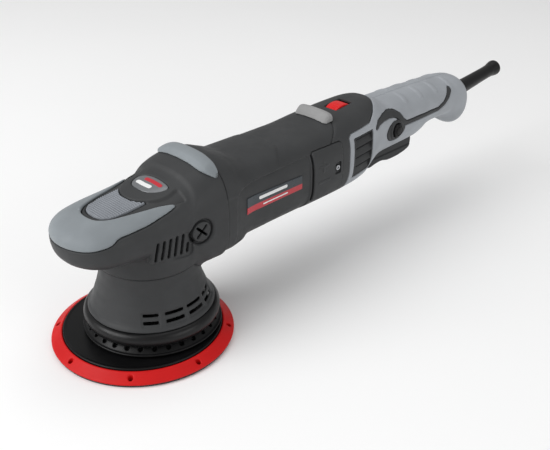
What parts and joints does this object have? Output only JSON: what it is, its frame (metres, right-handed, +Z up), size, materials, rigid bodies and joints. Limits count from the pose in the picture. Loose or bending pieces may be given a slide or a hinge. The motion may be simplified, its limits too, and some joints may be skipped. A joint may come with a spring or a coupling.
{
  "type": "dual action polisher",
  "caption": "Corded dual action polisher: free-turning red pad on an orbiting spindle, vented skirt, two-tone head, barrel motor and grey rear handle with paddle trigger.",
  "frame": {"origin": "where the spindle axis meets the working face of the pad", "axes": "+Z up along the spindle axis, +X towards the cable end of the handle, +Y to the operator's right"},
  "size_m": [0.4741, 0.125, 0.1248],
  "materials": {
    "dark_case": "fine satin texture",
    "grey_grip": "soft touch, matte",
    "light_grey": "soft touch, matte",
    "grey_case": "soft touch, matte",
    "black_plastic": "satin",
    "black_rubber": "matte",
    "red_foam": "smooth moulded skin",
    "red_plastic": "gloss",
    "hook_fabric": "short hooks",
    "aluminium": "cast, bead blasted",
    "steel": "turned or ground",
    "copper": "turned",
    "brass": "stamped",
    "carbon": "pressed carbon",
    "board": "coated board",
    "label": "printed stripe, no text",
    "badge": "domed, plain"
  },
  "bodies": {
    "housing": {"motor_casing": "dark_case", "stator": "steel", "fan_baffle": "black_plastic", "side_label": "label", "brush_cover_left": "dark_case", "brush_cover_right": "dark_case", "brush_cover_screw_left": "steel", "brush_cover_screw_right": "steel", "brush_holder_left": "brass", "brush_holder_right": "brass", "carbon_brush_left": "carbon", "carbon_brush_right": "carbon", "brush_spring_left": "steel", "brush_spring_right": "steel", "gear_case": "aluminium", "lower_spindle_bearing": "steel", "upper_spindle_bearing": "steel", "front_armature_bearing": "steel", "front_grip": "grey_grip", "grip_insert": "grey_grip", "head_badge": "badge", "head_cover": "dark_case", "skirt": "dark_case", "skirt_ring": "black_rubber", "front_bumper": "grey_grip", "rear_bumper": "light_grey", "rear_cap": "dark_case", "rear_armature_bearing": "steel", "speed_board": "board", "handle_shell_left": "grey_case", "handle_shell_right": "grey_case", "handle_inlay_left": "dark_case", "handle_inlay_right": "dark_case", "vent_grille_left": "black_plastic", "vent_grille_right": "black_plastic", "handle_screw_1": "steel", "handle_screw_2": "steel", "switch_module": "black_plastic", "trigger_pin": "steel", "cable_sleeve": "black_rubber", "cable_clamp": "black_plastic"},
    "armature": {"armature_shaft": "steel", "bevel_pinion": "steel", "cooling_fan": "black_plastic", "armature_core": "steel", "commutator": "copper"},
    "eccentric_drive": {"eccentric_hub": "aluminium", "pad_bearing": "steel", "counterweight": "steel", "vent_ring": "black_plastic", "spindle": "steel", "bevel_gear": "steel"},
    "pad": {"hook_face": "hook_fabric", "pad_foam": "red_foam", "backing_plate": "black_plastic", "pad_bolt": "steel", "pad_shaft": "steel"},
    "trigger": {"trigger": "dark_case"},
    "lock_button": {"lock_button": "black_plastic"},
    "speed_dial": {"speed_dial": "red_plastic"}
  },
  "joints": [
    {"name": "spindle_spin", "type": "hinge", "parent": "housing", "child": "eccentric_drive", "pos_m": [0, 0, 0], "axis": [0, 0, 1], "continuous": true},
    {"name": "pad_spin", "type": "hinge", "parent": "eccentric_drive", "child": "pad", "pos_m": [-0.00721, 0.00207, 0], "axis": [0, 0, 1], "continuous": true},
    {"name": "armature_spin", "type": "hinge", "parent": "housing", "child": "armature", "pos_m": [0, 0, 0.0827], "axis": [1, 0, 0], "continuous": true},
    {"name": "trigger_press", "type": "hinge", "parent": "housing", "child": "trigger", "pos_m": [0.209, 0, 0.07], "axis": [0, -1, 0], "range_deg": [0, 7], "stiffness_Nm_per_rad": 1.5, "springref_deg": -5.73},
    {"name": "lock_button_press", "type": "slide", "parent": "housing", "child": "lock_button", "axis": [0, 1, 0], "range_m": [0, 0.0035], "stiffness_N_per_m": 400, "springref_m": -0.003},
    {"name": "speed_dial_turn", "type": "hinge", "parent": "housing", "child": "speed_dial", "pos_m": [0.1855, 0, 0.1004], "axis": [0, 1, 0], "range_deg": [-135, 135]}
  ],
  "couplings": [
    {"joint": "armature_spin", "follows": "spindle_spin", "ratio": 3}
  ]
}
